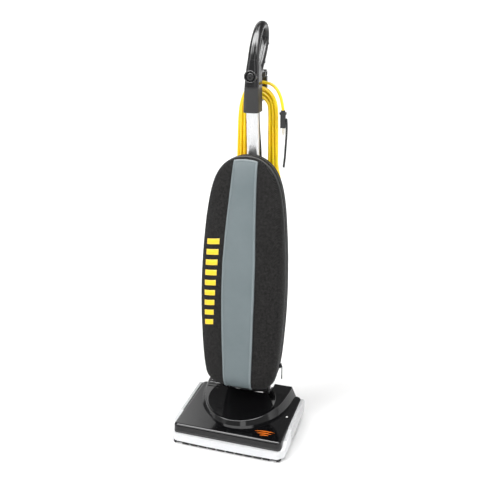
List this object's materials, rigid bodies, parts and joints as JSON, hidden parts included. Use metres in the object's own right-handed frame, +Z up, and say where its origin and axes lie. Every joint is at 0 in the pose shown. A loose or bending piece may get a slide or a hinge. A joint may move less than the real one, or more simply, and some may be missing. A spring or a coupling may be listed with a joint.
{
  "type": "upright vacuum cleaner",
  "caption": "Commercial upright vacuum with a wide nozzle base, reclining handle tube, zipped hard-shell bag, loop grip and a wound yellow mains cord on two hooks.",
  "frame": {"origin": "on the floor, under the middle of the whole cleaner's box (front of the bumper to the back of the loop grip), cord left out", "axes": "+X is the cleaner's width, to the right as seen from its front; -Y is its front (nozzle); +Z is up"},
  "size_m": [0.34, 0.38, 1.15],
  "materials": {
    "housing_black": "glossy black ABS",
    "inner_black": "matt moulded black",
    "bumper_white": "satin off-white",
    "trim_grey": "satin light grey",
    "lens_clear": "milky lens",
    "steel": "plain steel",
    "aluminium_tube": "satin drawn aluminium",
    "copper_brass": "copper and brass",
    "fan_plastic": "tough red-brown plastic",
    "rubber_black": "black rubber",
    "wheel_rubber": "dark grey wheel",
    "bristle": "nylon bristle",
    "hose_black": "corrugated flexible hose",
    "bag_fabric": "black woven fabric over a moulded shell",
    "bag_grey": "slate grey coated fabric",
    "zip_black": "black zip tape",
    "paper": "filter paper",
    "grip_black": "satin black grip",
    "switch_grey": "dark chrome ring",
    "switch_black": "glossy rocker",
    "cord_yellow": "safety yellow PVC",
    "cord_black": "black PVC",
    "blade_brass": "nickelled brass",
    "pedal_black": "black pedal"
  },
  "bodies": {
    "base": {"base_chassis": "inner_black", "soleplate": "inner_black", "soleplate_screws": "steel", "nozzle_cover": "housing_black", "motor_hood": "housing_black", "front_bumper": "bumper_white", "side_trims": "trim_grey", "indicator_lens": "lens_clear", "motor_housing": "steel", "motor_stator": "steel", "motor_end_bells": "inner_black", "motor_bearings": "steel", "carbon_brushes": "rubber_black", "fan_housing_inner": "inner_black", "fan_housing_outer": "inner_black", "exhaust_duct": "inner_black", "exhaust_hose": "hose_black", "drive_belt": "rubber_black", "brush_axle": "steel", "brush_end_caps": "inner_black", "wheel_axles": "steel", "hinge_pins": "steel", "pedal_spring": "steel"},
    "rotor": {"motor_shaft": "steel", "armature": "copper_brass", "fan_impeller": "fan_plastic", "motor_pulley": "steel"},
    "brush_roll": {"brush_tube": "aluminium_tube", "brush_bristles": "bristle"},
    "rear_wheel_left": {"rear_wheel_left": "wheel_rubber"},
    "rear_wheel_right": {"rear_wheel_right": "wheel_rubber"},
    "front_roller_left": {"front_roller_left": "wheel_rubber"},
    "front_roller_right": {"front_roller_right": "wheel_rubber"},
    "pedal": {"release_pedal": "pedal_black"},
    "handle": {"handle_yoke": "inner_black", "handle_tube": "aluminium_tube", "bag_rear_shell": "bag_fabric", "bag_zip_tape": "zip_black", "fill_tube": "inner_black", "paper_bag": "paper", "switch_housing_front": "grip_black", "switch_housing_back": "grip_black", "loop_grip_left": "grip_black", "loop_grip_right": "grip_black", "switch_bezel": "switch_grey", "switch_block": "inner_black", "strain_relief": "cord_black", "power_lead": "cord_black", "lower_cord_hook": "grip_black", "cord_lead_in": "cord_yellow", "cord_hank": "cord_yellow", "cord_tail": "cord_yellow", "plug": "cord_black", "plug_blades": "blade_brass", "cord_strap": "cord_black"},
    "bag_door": {"bag_front_shell": "bag_fabric", "bag_front_panel": "bag_grey", "zip_slider": "steel"},
    "switch": {"switch_rocker": "switch_black"},
    "cord_hook": {"upper_cord_hook": "grip_black"}
  },
  "joints": [
    {"name": "handle_recline", "type": "hinge", "parent": "base", "child": "handle", "pos_m": [0, 0.05, 0.07], "axis": [-1, 0, 0], "range_deg": [0, 80], "deforming": ["exhaust_hose"]},
    {"name": "motor_spin", "type": "hinge", "parent": "base", "child": "rotor", "pos_m": [0, -0.012, 0.043], "axis": [1, 0, 0], "continuous": true},
    {"name": "brush_roll_spin", "type": "hinge", "parent": "base", "child": "brush_roll", "pos_m": [0, -0.148, 0.028], "axis": [1, 0, 0], "continuous": true},
    {"name": "rear_wheel_left_spin", "type": "hinge", "parent": "base", "child": "rear_wheel_left", "pos_m": [-0.118, 0.052, 0.024], "axis": [1, 0, 0], "continuous": true},
    {"name": "rear_wheel_right_spin", "type": "hinge", "parent": "base", "child": "rear_wheel_right", "pos_m": [0.118, 0.052, 0.024], "axis": [1, 0, 0], "continuous": true},
    {"name": "front_roller_left_spin", "type": "hinge", "parent": "base", "child": "front_roller_left", "pos_m": [-0.14, -0.176, 0.005], "axis": [1, 0, 0], "continuous": true},
    {"name": "front_roller_right_spin", "type": "hinge", "parent": "base", "child": "front_roller_right", "pos_m": [0.14, -0.176, 0.005], "axis": [1, 0, 0], "continuous": true},
    {"name": "pedal_press", "type": "hinge", "parent": "base", "child": "pedal", "pos_m": [-0.089, 0.044, 0.048], "axis": [-1, 0, 0], "range_deg": [0, 10], "stiffness_Nm_per_rad": 1, "springref_deg": -5.73, "deforming": ["pedal_spring"]},
    {"name": "switch_rock", "type": "hinge", "parent": "handle", "child": "switch", "pos_m": [0, 0.0449, 1.017], "axis": [1, 0, 0], "range_deg": [0, 12]},
    {"name": "cord_hook_swivel", "type": "hinge", "parent": "handle", "child": "cord_hook", "pos_m": [0, 0.1, 0.944], "axis": [0, 1, 0], "range_deg": [0, 180]},
    {"name": "bag_door_open", "type": "hinge", "parent": "handle", "child": "bag_door", "pos_m": [-0.117, 0.00981, 0.474], "axis": [0, -0.0916, -0.9958], "range_deg": [0, 110]}
  ],
  "couplings": [
    {"joint": "brush_roll_spin", "follows": "motor_spin", "ratio": 0.5}
  ]
}
